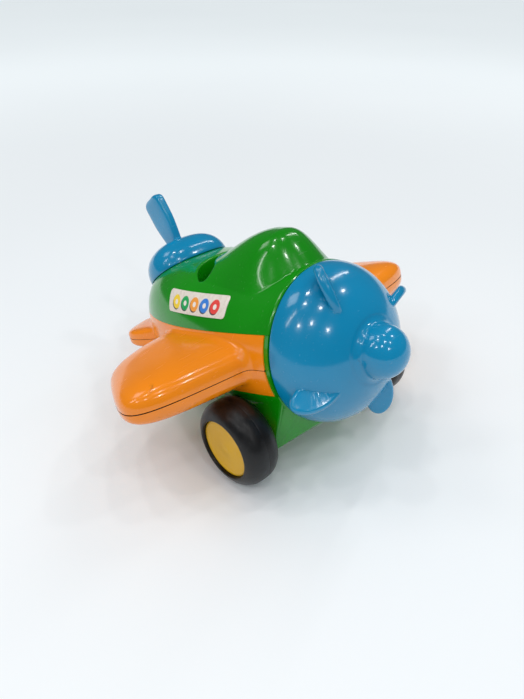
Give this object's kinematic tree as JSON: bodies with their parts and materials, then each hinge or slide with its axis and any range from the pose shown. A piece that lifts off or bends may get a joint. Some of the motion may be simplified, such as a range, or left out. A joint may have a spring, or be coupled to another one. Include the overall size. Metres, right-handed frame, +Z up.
{
  "type": "toy airplane",
  "caption": "Chunky toddler push-along toy airplane with an egg-shaped hollow body, stubby wings, turning propeller nose, tail fin cap, free-rolling wheels and a tail roller.",
  "frame": {"origin": "middle of the footprint at floor level, under the body", "axes": "nose towards -Y, tail towards +Y, left wing towards +X, up is +Z; the body leans back nose-up on its wheels"},
  "size_m": [0.2218, 0.2202, 0.1245],
  "materials": {
    "green_shell": "glossy moulded",
    "orange_wing": "glossy moulded",
    "blue_nose": "glossy moulded",
    "yellow_hub": "glossy moulded",
    "black_tyre": "soft satin",
    "black_roller": "satin",
    "white_bearing": "satin acetal",
    "steel_shaft": "bright drawn",
    "steel_screw": "zinc plated",
    "printed_label": "glossy printed film"
  },
  "bodies": {
    "airframe": {"upper_shell": "green_shell", "wing_upper_half": "orange_wing", "wing_lower_half": "orange_wing", "lower_shell": "green_shell", "front_bulkhead": "green_shell", "tail_cap": "blue_nose", "nose_bush": "white_bearing", "nose_washer": "white_bearing", "axle_bushes": "white_bearing", "roller_pin": "steel_shaft", "body_screws": "steel_screw", "wing_screws": "steel_screw", "right_label": "printed_label", "left_label": "printed_label"},
    "nose": {"nose_dome": "blue_nose", "nose_shaft": "steel_shaft", "nose_clip": "steel_shaft"},
    "wheelset": {"wheel_axle": "steel_shaft", "wheel_spacers": "white_bearing", "right_tyre": "black_tyre", "left_tyre": "black_tyre", "right_hub": "yellow_hub", "left_hub": "yellow_hub"},
    "roller": {"tail_roller": "black_roller"}
  },
  "joints": [
    {"name": "nose_spin", "type": "hinge", "parent": "airframe", "child": "nose", "pos_m": [0, -0.0619, 0.07038], "axis": [0, -0.9511, 0.309], "continuous": true},
    {"name": "wheel_roll", "type": "hinge", "parent": "airframe", "child": "wheelset", "pos_m": [0, -0.05065, 0.0254], "axis": [1, 0, 0], "continuous": true},
    {"name": "roller_roll", "type": "hinge", "parent": "airframe", "child": "roller", "pos_m": [0, 0.0233, 0.009], "axis": [1, 0, 0], "continuous": true}
  ]
}
